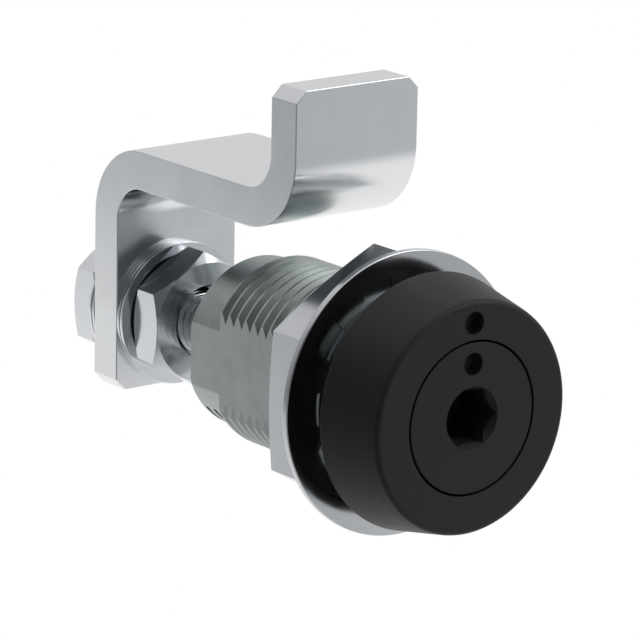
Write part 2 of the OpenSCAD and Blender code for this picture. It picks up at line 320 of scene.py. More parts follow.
def eased(corners: Corners, steps: int = CORNER_STEPS) -> Line:
    """Rounds the corners of a closed outline.

    Args:
        corners: Each corner, followed by the radius of its rounding unless it is sharp.
        steps: Steps in each rounding.

    Returns:
        The closed outline's points.
    """
    line: Line = []
    for index, (across, along, *rounding) in enumerate(corners):
        if not rounding:
            line.append((across, along))
            continue
        radius = rounding[0]
        here = Vector((across, along))
        before = (Vector(corners[index - 1][:2]) - here).normalized()
        after = (Vector(corners[(index + 1) % len(corners)][:2]) - here).normalized()
        half = before.angle(after) / 2
        reach = radius / math.tan(half)
        centre = here + (before + after).normalized() * radius / math.sin(half)
        first = here + before * reach - centre
        start = math.atan2(first.y, first.x)
        sweep = math.pi - 2 * half
        if before.cross(after) > 0:
            sweep = -sweep
        for step in range(steps + 1):
            turn = start + sweep * step / steps
            line.append((centre.x + radius * math.cos(turn), centre.y + radius * math.sin(turn)))
    return line


def drawn(name: str, places: Sequence[Vector], closed: bool) -> Piece:
    """Draws a line as a chain of edges, point after point.

    Args:
        name: Name of the new piece.
        places: Its points.
        closed: Whether the last point joins the first.

    Returns:
        The chain of edges.
    """
    piece = added(name, bpy.ops.mesh.primitive_plane_add, size=1)
    with shaping(piece):
        bpy.ops.mesh.merge(type="CENTER")
        bpy.ops.transform.translate(value=places[0])
        for here, there in zip(places, places[1:]):
            bpy.ops.mesh.extrude_region_move(TRANSFORM_OT_translate={"value": there - here})
        if closed:
            mesh = bmesh.from_edit_mesh(piece.data)
            bpy.ops.mesh.select_all(action="DESELECT")
            for corner in mesh.verts:
                corner.select = len(corner.link_edges) == 1
            mesh.select_flush_mode()
            bpy.ops.mesh.edge_face_add()
    return piece


def turned(
    name: str,
    line: Line,
    closed: bool = False,
    pitch: float = 0.0,
    degrees: float = 360.0,
    steps: int = ROUND_STEPS,
) -> Piece:
    """Turns a drawn line round the latch axis, as on a lathe or along a thread.

    Args:
        name: Name of the new piece.
        line: Points as radius and Y.
        closed: Whether the line is closed, as a ring's section is.
        pitch: Advance per turn, which makes a right-hand thread of a zigzag line.
        degrees: Angle of the sweep, from +X towards -Z.
        steps: Steps in the sweep.

    Returns:
        The turned piece.
    """
    piece = drawn(name, [Vector((radius, y, 0)) for radius, y in line], closed)
    modified(
        piece,
        "SCREW",
        axis="Y",
        angle=math.radians(degrees),
        steps=steps,
        render_steps=steps,
        screw_offset=pitch,
        use_merge_vertices=False,
    )
    closed_up(piece, fill=degrees < 360)
    return piece


def lathe(name: str, rim: Corners, steps: int = ROUND_STEPS) -> Piece:
    """Turns a solid that reaches the latch axis in front and behind.

    Args:
        name: Name of the new piece.
        rim: Radius and Y of the corners of its outline, each with its rounding unless it is sharp.
        steps: Steps in the turn.

    Returns:
        The solid.
    """
    return turned(name, eased([(0.0, rim[0][1]), *rim, (0.0, rim[-1][1])]), steps=steps)


def hex_prism(name: str, across: float, front: float, back: float, edge: float) -> Piece:
    """Makes a hexagonal bar along Y with corners up and down.

    Args:
        name: Name of the new piece.
        across: Size across its flats.
        front: Its lowest Y.
        back: Its highest Y.
        edge: Width of its broken long edges.

    Returns:
        The bar.
    """
    bar = added(
        name,
        bpy.ops.mesh.primitive_cylinder_add,
        vertices=6,
        radius=across / math.sqrt(3),
        depth=back - front,
        location=(0, (front + back) / 2, 0),
        rotation=(-math.pi / 2, 0, 0),
    )
    with shaping(bar) as mesh:
        bpy.ops.mesh.select_all(action="DESELECT")
        for side in mesh.edges:
            start, end = side.verts
            side.select = abs(start.co.y - end.co.y) > PAST / 2
        mesh.select_mode = {"EDGE"}
        mesh.select_flush_mode()
        bpy.ops.mesh.bevel(offset=edge, segments=EDGE_STEPS, affect="EDGES")
    return bar


def block(name: str, low: Vector, high: Vector) -> Piece:
    """Makes a cutting block.

    Args:
        name: Name of the new piece.
        low: Its lowest corner.
        high: Its highest corner.

    Returns:
        The block.
    """
    cube = bpy.ops.mesh.primitive_cube_add
    return added(name, cube, size=1, location=(low + high) / 2, scale=high - low)


@dataclass(frozen=True)
class Thread:
    """A right-hand thread about the latch axis, in millimetres.

    Args:
        pitch: Advance per turn.
        crest: Radius of its crests.
        root: Radius of its roots.
        crest_flat: Width of the crests.
        root_flat: Width of the roots.
    """

    pitch: float
    crest: float
    root: float
    crest_flat: float
    root_flat: float

    def cut(self, name: str, front: float, back: float) -> Piece:
        """Makes a threaded bar with flat ends.

        Args:
            name: Name of the new piece.
            front: Its lowest Y.
            back: Its highest Y.

        Returns:
            The threaded bar.
        """
        flank = (self.pitch - self.crest_flat - self.root_flat) / 2
        line: Line = []
        y = front - 2 * self.pitch
        while y < back + self.pitch:
            line.append((self.crest, y))
            line.append((self.crest, y + self.crest_flat))
            line.append((self.root, y + self.crest_flat + flank))
            line.append((self.root, y + self.crest_flat + flank + self.root_flat))
            y += self.pitch
        line.append((self.crest, y))
        bar = turned(name, line, pitch=self.pitch)
        trimmed(bar, (0, back, 0), (0, 1, 0))
        trimmed(bar, (0, front, 0), (0, -1, 0))
        closed_up(bar)
        return bar


def linear(code: str) -> Colour:
    """Turns an sRGB hex colour to a linear one.

    Args:
        code: Six hex digits.

    Returns:
        Red, green, blue and alpha.
    """
    values = [int(code[i : i + 2], 16) / 255 for i in (0, 2, 4)]
    red, green, blue = [v / 12.92 if v <= 0.04045 else ((v + 0.055) / 1.055) ** 2.4 for v in values]
    return (red, green, blue, 1.0)


def blank(owner: bpy.types.Material | bpy.types.World) -> Tree:
    """Empties the node tree of a material or a world.

    Args:
        owner: The material or world.

    Returns:
        Its empty node tree.
    """
    owner.use_nodes = True
    owner.node_tree.nodes.clear()
    return owner.node_tree


def node(
    tree: Tree,
    kind: str,
    inputs: dict[int | str, object] | None = None,
    **settings: object,
) -> bpy.types.Node:
    """Adds a node with its settings and inputs.

    Args:
        tree: The node tree.
        kind: Type of the node.
        inputs: For each input, the output that feeds it or a value of its own.
        settings: Properties of the node.

    Returns:
        The node.
    """
    new = tree.nodes.new(kind)
    for key, value in settings.items():
        setattr(new, key, value)
    for key, value in (inputs or {}).items():
        if isinstance(value, Socket):
            tree.links.new(value, new.inputs[key])
        else:
            new.inputs[key].default_value = value
    return new


def noise(tree: Tree, place: Socket, width: float, detail: float, roughness: float) -> Socket:
    """Adds a noise whose features have a given width.

    Args:
        tree: The node tree.
        place: The place on the piece.
        width: Width of the features, in millimetres.
        detail: Octaves of the noise.
        roughness: Strength of the finer octaves.

    Returns:
        The noise's value.
    """
    values = {"Scale": 1.0 / (width * MM), "Detail": detail, "Roughness": roughness}
    return node(tree, "ShaderNodeTexNoise", {"Vector": place, **values}).outputs["Fac"]


def spread(
    tree: Tree,
    value: Socket,
    source: Point,
    target: Point = (0.0, 1.0),
    smooth: bool = False,
) -> Socket:
    """Maps a span of values to another, held at its ends.

    Args:
        tree: The node tree.
        value: The value to map.
        source: Ends of the span that it is taken from.
        target: Ends of the span that it is brought to.
        smooth: Whether it leaves and reaches the ends softly.

    Returns:
        The mapped value.
    """
    ends = {"From Min": source[0], "From Max": source[1], "To Min": target[0], "To Max": target[1]}
    way = "SMOOTHSTEP" if smooth else "LINEAR"
    return node(
        tree,
        "ShaderNodeMapRange",
        {"Value": value, **ends},
        interpolation_type=way,
    ).outputs["Result"]


def blended(tree: Tree, share: Socket, low: Colour | Socket, high: Colour | Socket) -> Socket:
    """Blends two colours.

    Args:
        tree: The node tree.
        share: Share of the second colour.
        low: The first colour.
        high: The second colour.

    Returns:
        The blend.
    """
    return node(tree, "ShaderNodeMix", {0: share, 6: low, 7: high}, data_type="RGBA").outputs[2]


def compared(tree: Tree, how: str, place: Socket, other: Triple) -> Socket:
    """Compares a place or direction with a fixed one.

    Args:
        tree: The node tree.
        how: The operation, such as DISTANCE or DOT_PRODUCT.
        place: The place or direction.
        other: The fixed one.

    Returns:
        The resulting number.
    """
    return node(tree, "ShaderNodeVectorMath", {0: place, 1: other}, operation=how).outputs["Value"]


@dataclass(frozen=True)
class Finish:
    """A surface as it was made, drawn from its real colours and grain.

    Args:
        name: The finish in a maker's words.
        slot: The record's material slot that it belongs to, which is not used.
        base: Main colour, sRGB hex.
        tone: Second colour of its patches, sRGB hex.
        roughness: Mean roughness.
        rough_spread: How far the roughness wanders over the patches.
        patch: Width of the patches, in millimetres.
        grain: Width of the fine grain, in millimetres.
        depth: Height of the fine grain, in millimetres.
        metallic: 1 for bare or plated metal, 0 for the rest.
        ior: Index of refraction.
        painted_to: Y up to which black painted shade covers the metal, in millimetres, or nothing.
    """

    name: str
    slot: str
    base: str
    tone: str
    roughness: float
    rough_spread: float = 0.04
    patch: float = 2.0
    grain: float = 0.4
    depth: float = 0.002
    metallic: float = 1.0
    ior: float = 1.5
    painted_to: float | None = None

    def material(self) -> bpy.types.Material:
        """Builds the finish once and gives it again after that.

        Returns:
            The material.
        """
        made = bpy.data.materials.get(self.name)
        if made:
            return made
        material = bpy.data.materials.new(self.name)
        tree = blank(material)
        place = node(tree, "ShaderNodeTexCoord").outputs["Object"]
        patches = noise(tree, place, self.patch, PATCH_DETAIL, PATCH_ROUGHNESS)
        share = spread(tree, patches, PATCH_SPAN)
        colour = blended(tree, share, linear(self.base), linear(self.tone))
        low = max(0.0, self.roughness - self.rough_spread)
        high = min(1.0, self.roughness + self.rough_spread)
        grain = noise(tree, place, self.grain, GRAIN_DETAIL, GRAIN_ROUGHNESS)
        relief = {"Height": grain, "Strength": 1.0, "Distance": self.depth * MM}
        inputs = {
            "Base Color": colour,
            "Metallic": self.metallic,
            "Roughness": spread(tree, share, (0.0, 1.0), (low, high)),
            "IOR": self.ior,
            "Normal": node(tree, "ShaderNodeBump", relief).outputs["Normal"],
        }
        # Painted shade: black in place of the metal up to painted_to
        if self.painted_to is not None:
            along = node(tree, "ShaderNodeSeparateXYZ", {0: place}).outputs["Y"]
            limit = {0: along, 1: self.painted_to * MM}
            bare = node(tree, "ShaderNodeMath", limit, operation="GREATER_THAN").outputs[0]
            inputs["Base Color"] = blended(tree, bare, linear(HEAD_PAINTED_SHADE), colour)
            inputs["Metallic"] = bare
        shader = node(tree, "ShaderNodeBsdfPrincipled", inputs)
        node(tree, "ShaderNodeOutputMaterial", {"Surface": shader.outputs["BSDF"]})
        return material


# Zinc alloy as it leaves the die and the tumbler: grey, matt and softly mottled, with no mirror image.
# The head in front of the panel is black under its trim: painted shade, which the nut's flange mirrors
DIE_CAST_ZINC = Finish(
    name="matt die-cast zinc",
    slot="die_cast_zinc",
    base="9aa2a0",
    tone="abb2b1",
    roughness=0.36,
    patch=3.4,
    grain=0.5,
    depth=0.008,
    painted_to=0.05,
)

# Glass-filled polyamide from a finely eroded mould: dark grey-black with a wide faint sheen
MOULDED_POLYAMIDE = Finish(
    name="black moulded polyamide",
    slot="black_trim",
    base="222223",
    tone="242425",
    roughness=0.5,
    rough_spread=0.02,
    patch=3.0,
    grain=0.25,
    metallic=0.0,
    ior=1.32,
)

# Powder coat on a zinc plug: the same black as the moulding, a little flatter
BLACK_POWDER_COAT = replace(
    MOULDED_POLYAMIDE,
    name="black powder coat",
    slot="black_plug",
    roughness=0.52,
    grain=0.3,
    depth=0.003,
)

# Moulded nitrile rubber: black and matt, with hardly any sheen
NITRILE_RUBBER = Finish(
    name="black nitrile rubber",
    slot="black_rubber",
    base="111112",
    tone="161617",
    roughness=0.7,
    rough_spread=0.03,
    grain=0.3,
    depth=0.003,
    metallic=0.0,
)

# Bright zinc plate on pressed nuts and washers: a clear, slightly blue mirror with a soft blur
BRIGHT_ZINC_PLATE = Finish(
    name="bright zinc-plated steel",
    slot="bright_plate",
    base="d6d8db",
    tone="dadcdf",
    roughness=0.14,
    rough_spread=0.03,
    patch=6.0,
    grain=0.6,
    depth=0.0006,
)

# The same plate over the mounting nut's forged skin, which leaves it duller
DULL_ZINC_PLATE = replace(
    BRIGHT_ZINC_PLATE,
    name="dull zinc-plated steel",
    base="c5c7ca",
    tone="cbcdcf",
    roughness=0.16,
    patch=5.0,
    depth=0.0015,
)

# Bright zinc plate on rolled plate: the rolled skin blurs the mirror more than the nuts' turned faces
PLATED_ROLLED_STEEL = Finish(
    name="zinc-plated rolled steel",
    slot="pawl_plate",
    base="dfe1e3",
    tone="e4e5e7",
    roughness=0.2,
    patch=9.0,
    grain=0.8,
)

# Turned bar with plate over it: fine marks of the tool, duller than the pressed parts
TURNED_STEEL = Finish(
    name="turned and plated steel",
    slot="turned_steel",
    base="bcbfc2",
    tone="c4c7ca",
    roughness=0.28,
    patch=3.0,
)

# Sintered steel, plated: grey and matt, because its pores scatter the light
SINTERED_STEEL = Finish(
    name="plated sintered steel",
    slot="turned_steel",
    base="a6aeae",
    tone="b0b8b8",
    roughness=0.48,
    grain=0.3,
    depth=0.004,
)

# Spring steel in its oil-hardened skin: dark grey with a dull shine
OILED_SPRING_STEEL = Finish(
    name="oiled spring steel",
    slot="spring_steel",
    base="a0a5a8",
    tone="a8adb0",
    roughness=0.34,
    rough_spread=0.05,
)

# Plain bearing brass, turned: yellow with a soft shine
BEARING_BRASS = Finish(
    name="turned bearing brass",
    slot="bearing_brass",
    base="d0b067",
    tone="d8ba74",
    roughness=0.3,
    rough_spread=0.05,
)

# CAD solids that keep their own shape, nearly all of them hidden inside the latch
AS_PACKED = {
    "panel_gasket": NITRILE_RUBBER,
    "plug_o_ring": NITRILE_RUBBER,
    "plug_clip": OILED_SPRING_STEEL,
    "spring_seat": OILED_SPRING_STEEL,
    "return_spring": OILED_SPRING_STEEL,
    "cam_sleeve": SINTERED_STEEL,
    "thrust_washer": BEARING_BRASS,
    "bush_circlip": OILED_SPRING_STEEL,
    "wave_washer": OILED_SPRING_STEEL,
    "cross_pin": TURNED_STEEL,
    "guide_bush": SINTERED_STEEL,
}


def seat(piece: Piece) -> None:
    """Brings a finished piece from millimetres to metres and smooths its round faces.

    Args:
        piece: The piece.
    """
    closed_up(piece)
    pick(piece)
    piece.scale = (MM, MM, MM)
    settle()
    bpy.ops.object.shade_smooth_by_angle(angle=SMOOTH_ANGLE)
    modified(piece, "WEIGHTED_NORMAL", mode="FACE_AREA", weight=FLAT_WEIGHT, keep_sharp=True)
    deselect()


def dress(piece: Piece, finish: Finish, body: str, stands_for: str) -> None:
    """Gives a finished piece its surface and its body, and hides the CAD node that it stands for.

    Args:
        piece: The piece.
        finish: Its finish.
        body: The CAD body that carries it.
        stands_for: The CAD node that it replaces.
    """
    seat(piece)
    piece.data.materials.clear()
    piece.data.materials.append(finish.material())
    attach(piece, body)
    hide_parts(stands_for)
    log.info("%s: %d faces, %s", piece.name, len(piece.data.polygons), finish.name)


def surface(solid: Piece, finish: Finish) -> None:
    """Gives a CAD solid that keeps its own shape its surface.

    Args:
        solid: The CAD solid.
        finish: Its finish.
    """
    for slot in solid.material_slots:
        slot.material = finish.material()
    log.info("%s: the CAD solid, %s", solid.name, finish.name)


@dataclass
class Head:
    """The black tapered trim in front of the panel, with its position dot.

    Args:
        taper: Narrowing of the radius from the back rim to the front.
        edge_r: Radius of the rounded front edge.
        rim_r: Radius of the rounded back rim.
        wall: Side wall of the trim.
        front_wall: Front wall of the trim.
        ring_gap: Gap round the plug.
        round_steps: Steps in each rounded edge.
        turn_steps: Steps round the trim.
        dot_r: Radius of the position dot.
        dot_depth: Depth of the dot.
        dot_ledge: Width of the ledge round the smaller step at its floor.
        dot_step: Depth of that step.
        dot_out: Distance of the dot from the plug's edge.
        dot_steps: Steps round the dot.
        mouth_r: Rounding of the edges round the plug and the dot.
    """

    taper: float = 2.1
    edge_r: float = 0.8
    rim_r: float = 0.5
    wall: float = 1.6
    front_wall: float = 2.5
    ring_gap: float = 0.36
    round_steps: int = 6
    turn_steps: int = 160
    dot_r: float = 1.7
    dot_depth: float = 1.5
    dot_ledge: float = 0.4
    dot_step: float = 0.3
    dot_out: float = 2.9
    dot_steps: int = 48
    mouth_r: float = 0.06

    def section(self, place: Place, plug_r: float) -> Line:
        """Section of the trim, which is a tapered cup with a hole for the plug.

        Args:
            place: Place of the trim.
            plug_r: Radius of the plug.

        Returns:
            The closed outline as radius and Y.
        """
        lean = self.taper / (place.back - place.front)
        outer_back = place.side + self.rim_r * (math.hypot(1, lean) + lean - 1)
        outer_front = outer_back - self.taper
        hole = plug_r + self.ring_gap
        core_y = place.front + self.front_wall
        inner_back = outer_back - self.wall
        inner_front = inner_back + lean * (core_y - place.back)
        corners = [
            (inner_back, place.back),
            (outer_back, place.back, self.rim_r),
            (outer_front, place.front, self.edge_r),
            (hole, place.front, self.mouth_r),
            (hole, core_y),
            (inner_front, core_y),
        ]
        return eased(corners, steps=self.round_steps)

    def dot(self, front: float, height: float) -> Piece:
        """Cutter for a position dot: a stepped round recess with a broken rim.

        Args:
            front: Y of the face that it is sunk into.
            height: Z of its centre.

        Returns:
            The cutter.
        """
        floor = front + self.dot_depth
        inner = self.dot_r - self.dot_ledge
        rim = [
            (self.dot_r + self.mouth_r, front - PAST),
            (self.dot_r + self.mouth_r, front),
            (self.dot_r, front + self.mouth_r),
            (self.dot_r, floor),
            (inner, floor),
            (inner, floor + self.dot_step),
        ]
        cutter = lathe("dot cutter", rim, steps=self.dot_steps)
        placed(cutter, step=(0, 0, height))
        return cutter

    def build(self) -> None:
        """Builds and dresses the trim."""
        plug_r = Place.of("drive_plug").side
        place = Place.of("head_trim")
        line = self.section(place, plug_r)
        trim = turned("tapered_trim", line, closed=True, steps=self.turn_steps)
        combine(trim, self.dot(place.front, plug_r + self.dot_out), Cut.AWAY)
        dress(trim, MOULDED_POLYAMIDE, "housing", "head_trim")


@dataclass
class KeyDrive:
    """The plug that the key turns, with its hex recess.

    Args:
        stem_r: Radius of the stem behind the face.
        shoulder_y: Y of the shoulder that stops on the web.
        shoulder_r: Rounding of the shoulder.
        stem_y: Y of the stem's end, where the tongue starts.
        tongue_w: Width of the driving tongue.
        tongue_r: Rounding of the tongue's end.
        key_across: Hex recess across its flats.
        key_depth: Its depth.
        key_edge: Width of the rounding in its corners.
        key_turn: Turn that puts its corners left and right, in degrees.
        key_mouth: Chamfer round its mouth.
        key_steep: Depth of that chamfer as a share of its width.
        key_inner: Reach of the chamfer's cutter inside the flats.
        face_r: Rounding of the face's outer edge.
        dot_z: Height of the plug's position dot.
        ring_y: Y of the O-ring groove's centre.
        ring_floor: Radius of that groove's floor.
        ring_half: Half width of that groove.
        clip_front: Front of the retaining clip's groove.
        clip_back: Back of the retaining clip's groove.
        clip_floor: Radius of that groove's floor.
    """

    stem_r: float = 8.5
    shoulder_y: float = -2.55
    shoulder_r: float = 0.1
    stem_y: float = 5.0
    tongue_w: float = 6.0
    tongue_r: float = 0.2
    key_across: float = 8.0
    key_depth: float = 8.0
    key_edge: float = 0.12
    key_turn: float = 30.0
    key_mouth: float = 0.75
    key_steep: float = 1.5
    key_inner: float = 0.1
    face_r: float = 0.12
    dot_z: float = 8.075
    ring_y: float = -5.5
    ring_floor: float = 9.75
    ring_half: float = 0.9
    clip_front: float = 1.525
    clip_back: float = 2.6
    clip_floor: float = 7.6

    def plug(self, head: Head) -> Piece:
        """Turns the plug and sinks the hex recess and the dot into its face.

        Args:
            head: The head, whose dot the plug's dot matches.

        Returns:
            The plug.
        """
        place = Place.of("drive_plug")
        front = place.front
        rim = [
            (place.side, front, self.face_r),
            (place.side, self.ring_y - self.ring_half),
            (self.ring_floor, self.ring_y - self.ring_half),
            (self.ring_floor, self.ring_y + self.ring_half),
            (place.side, self.ring_y + self.ring_half),
            (place.side, self.shoulder_y, self.shoulder_r),
            (self.stem_r, self.shoulder_y),
            (self.stem_r, self.clip_front),
            (self.clip_floor, self.clip_front),
            (self.clip_floor, self.clip_back),
            (self.stem_r, self.clip_back),
            (self.stem_r, place.back, self.tongue_r),
        ]
        plug = lathe("key_plug", rim)
        for side in (-1, 1):
            edge = side * self.tongue_w / 2
            far = side * 2 * place.side
            low = Vector((min(edge, far), self.stem_y, -2 * place.side))
            high = Vector((max(edge, far), place.back + PAST, 2 * place.side))
            combine(plug, block("tongue side", low, high), Cut.AWAY)
        floor = front + self.key_depth
        recess = hex_prism("key recess", self.key_across, front - PAST, floor, self.key_edge)
        placed(recess, turn=(0, self.key_turn, 0))
        combine(plug, recess, Cut.AWAY)
        flat_r = self.key_across / 2
        depth = (self.key_mouth + self.key_inner) * self.key_steep
        mouth = [
            (flat_r + self.key_mouth + PAST / self.key_steep, front - PAST),
            (flat_r - self.key_inner, front + depth),
        ]
        combine(plug, lathe("key mouth", mouth), Cut.AWAY)
        combine(plug, head.dot(front, self.dot_z), Cut.AWAY)
        return plug

    def build(self, head: Head) -> None:
        """Builds and dresses the plug.

        Args:
            head: The head, whose dot the plug's dot matches.
        """
        dress(self.plug(head), BLACK_POWDER_COAT, "driver", "drive_plug")


@dataclass
class Body:
    """The die-cast housing with its thread, and the flange nut that clamps it to the panel.

    Args:
        thread: The housing's thread.
        across: Distance across the shank's two flats.
        thread_front: Y of the thread's start, inside the head.
        thread_end: Y of the thread's end.
        boss_front: Y where the boss starts, inside the thread.
        boss_r: Radius of the plain boss behind the thread.
        boss_edge: Chamfer of the boss's back edge.
        bore_r: Radius of the main bore.
        bore_edge: Chamfer of the bore's back edge.
        web_front: Front of the web that the plug's stem passes through.
        web_back: Back of that web.
        web_hole: Radius of the hole in it.
        plug_r: Radius of the space that the plug turns in.
        head_front: Y of the casting's head.
        head_front_r: Radius of the casting's head in front.
        head_back_r: Radius of the casting's head behind.
        gasket_in: Inner radius of the step that the gasket lies in.
        gasket_deep: Depth of that step.
        clip_front: Front of the circlip's groove.
        clip_back: Back of that groove.
        clip_r: Radius of that groove.
        stop_r: Radius of the space that the bush's lug turns in.
        stop_half: Half angle of that space, in degrees.
        stop_middle: Angle of its middle from +X towards -Z, in degrees.
        stop_front: Front of that space.
        slot_places: Y of the slots under the boss.
        slot_w: Their width.
        slot_deep: Their depth.
        slot_half: Their half angle, in degrees.
        slot_middle: Angle of their middle from +X towards -Z, in degrees.
        nut_across: Mounting nut across its flats.
        hex_edge: Width of its broken long edges.
        hex_clear: Step that keeps its chamfer's tool off the flange's rim and the hexagon's corners.
        nut_chamfer: Depth of the chamfer behind.
        nut_crown: Step from the flats in to the circle that the chamfer starts at.
        flange_t: Thickness of its flange at the rim.
        flange_rise: Rise of the flange's cone from the rim to the hexagon.
        flange_edge: Rounding of the flange's rim.
        flange_steps: Steps round the flange.
        nut_bore: Radius of its bore.
        bore_front: Chamfer of its bore in front.
        bore_back: Chamfer of its bore behind.
        pockets: Number of grip pockets.
        pocket_in: Inner radius of the pockets.
        pocket_out: Outer radius of the pockets.
        pocket_turn: Their angle, in degrees.
        pocket_deep: Their depth.
    """

    thread: Thread = Thread(pitch=2.0, crest=14.7, root=13.9, crest_flat=0.4, root_flat=0.15)
    across: float = 24.8
    thread_front: float = -0.5
    thread_end: float = 33.2
    boss_front: float = 30.0
    boss_r: float = 13.3
    boss_edge: float = 0.25
    bore_r: float = 10.4
    bore_edge: float = 0.15
    web_front: float = -2.5
    web_back: float = 1.5
    web_hole: float = 8.6
    plug_r: float = 11.5
    head_front: float = -8.45
    head_front_r: float = 16.24
    head_back_r: float = 17.66
    gasket_in: float = 15.3
    gasket_deep: float = 1.0
    clip_front: float = 38.8
    clip_back: float = 39.9
    clip_r: float = 11.2
    stop_r: float = 11.65
    stop_half: float = 55.5
    stop_middle: float = 270.0
    stop_front: float = 32.65
    slot_places: tuple[float, ...] = (39.3, 37.35)
    slot_w: float = 0.7
    slot_deep: float = 2.2
    slot_half: float = 50.0
    slot_middle: float = 90.0
    nut_across: float = 36.4
    hex_edge: float = 0.25
    hex_clear: float = 0.1
    nut_chamfer: float = 0.87
    nut_crown: float = 0.2
    flange_t: float = 1.1
    flange_rise: float = 0.7
    flange_edge: float = 0.16
    flange_steps: int = 192
    nut_bore: float = 14.8
    bore_front: float = 0.3
    bore_back: float = 0.8
    pockets: int = 10
    pocket_in: float = 15.72
    pocket_out: float = 18.4
    pocket_turn: float = 18.0
    pocket_deep: float = 0.28

    def sector(self, name: str, section: Line, half: float, middle: float) -> Piece:
        """Sweeps a closed section through part of a turn.

        Args:
            name: Name of the new piece.
            section: The section as radius and Y.
            half: Half of its angle, in degrees.
            middle: Angle of its middle from +X towards -Z.

        Returns:
            The piece.
        """
        steps = max(SECTOR_STEPS, round(half))
        piece = turned(name, section, closed=True, degrees=2 * half, steps=steps)
        placed(piece, turn=(0, middle - half, 0))
        return piece

    def housing(self) -> Piece:
        """Casts the housing: shank with thread, flats and boss, then the head, then the bores.

        Returns:
            The housing.
        """
        end = Place.of("housing").back
        shank = self.thread.cut("threaded_housing", self.thread_front, self.thread_end)
        boss = [
            (self.boss_r, self.boss_front),
            (self.boss_r, end - self.boss_edge),
            (self.boss_r - self.boss_edge, end),
        ]
        combine(shank, lathe("boss", boss), Cut.JOIN)
        for side in (-1, 1):
            trimmed(shank, (side * self.across / 2, 0, 0), (side, 0, 0))
        closed_up(shank)
        head = [
            (self.head_front_r, self.head_front),
            (self.head_back_r, -self.gasket_deep),
            (self.gasket_in, -self.gasket_deep),
            (self.gasket_in, 0.0),
        ]
        combine(shank, lathe("casting head", head), Cut.JOIN)
        bore = [
            (self.plug_r, self.head_front - PAST),
            (self.plug_r, self.web_front),
            (self.web_hole, self.web_front),
            (self.web_hole, self.web_back),
            (self.bore_r, self.web_back),
            (self.bore_r, self.clip_front),
            (self.clip_r, self.clip_front),
            (self.clip_r, self.clip_back),
            (self.bore_r, self.clip_back),
            (self.bore_r, end - self.bore_edge),
            (self.bore_r + self.bore_edge + PAST, end + PAST),
        ]
        combine(shank, lathe("bore", bore), Cut.AWAY)
        stop = [
            (self.bore_r - PAST, self.stop_front),
            (self.stop_r, self.stop_front),
            (self.stop_r, end + PAST),
            (self.bore_r - PAST, end + PAST),
        ]
        combine(shank, self.sector("stop space", stop, self.stop_half, self.stop_middle), Cut.AWAY)
        for y in self.slot_places:
            low = y - self.slot_w / 2
            high = y + self.slot_w / 2
            floor = self.boss_r - self.slot_deep
            outside = self.boss_r + PAST
            slot = [(floor, low), (outside, low), (outside, high), (floor, high)]
            combine(shank, self.sector("boss slot", slot, self.slot_half, self.slot_middle), Cut.AWAY)
        return shank

    def nut(self) -> Piece:
        """Presses the mounting nut: hexagon with its chamfer, flange, bore and grip pockets.

        Returns:
            The nut.
        """
        place = Place.of("mounting_nut")
        front = place.front
        back = place.back
        shelf = front + self.flange_t
        corner = self.nut_across / math.sqrt(3)
        flat = self.nut_across / 2
        low = front + self.flange_t / 2
        nut = hex_prism("flange_nut", self.nut_across, low, back + PAST, self.hex_edge)
        chamfer = [
            (place.side - self.hex_clear, front),
            (place.side - self.hex_clear, shelf),
            (corner + self.hex_clear, shelf),
            (corner + self.hex_clear, back - self.nut_chamfer),
            (flat - self.nut_crown, back),
        ]
        combine(nut, lathe("nut chamfer", chamfer), Cut.KEEP)
        flange = [
            (place.side, front, self.flange_edge),
            (place.side, shelf, self.flange_edge),
            (flat, shelf + self.flange_rise),
        ]
        combine(nut, lathe("nut flange", flange, steps=self.flange_steps), Cut.JOIN)
        bore = [
            (self.nut_bore + PAST + self.bore_front, front - PAST),
            (self.nut_bore, front + self.bore_front),
            (self.nut_bore, back - self.bore_back),
            (self.nut_bore + self.bore_back + PAST, back + PAST),
        ]
        combine(nut, lathe("nut bore", bore), Cut.AWAY)
        floor = front + self.pocket_deep
        pocket = [
            (self.pocket_in, front - PAST),
            (self.pocket_out, front - PAST),
            (self.pocket_out, floor),
            (self.pocket_in, floor),
        ]
        first = self.sector("pocket", pocket, self.pocket_turn / 2, 0.0)
        for index in range(1, self.pockets):
            other = copied(first, "pocket copy")
            placed(other, turn=(0, index * 360 / self.pockets, 0))
            combine(nut, other, Cut.AWAY)
        combine(nut, first, Cut.AWAY)
        return nut

    def build(self) -> None:
        """Builds and dresses the housing and its nut."""
        dress(self.housing(), DIE_CAST_ZINC, "housing", "housing")
        dress(self.nut(), DULL_ZINC_PLATE, "housing", "mounting_nut")


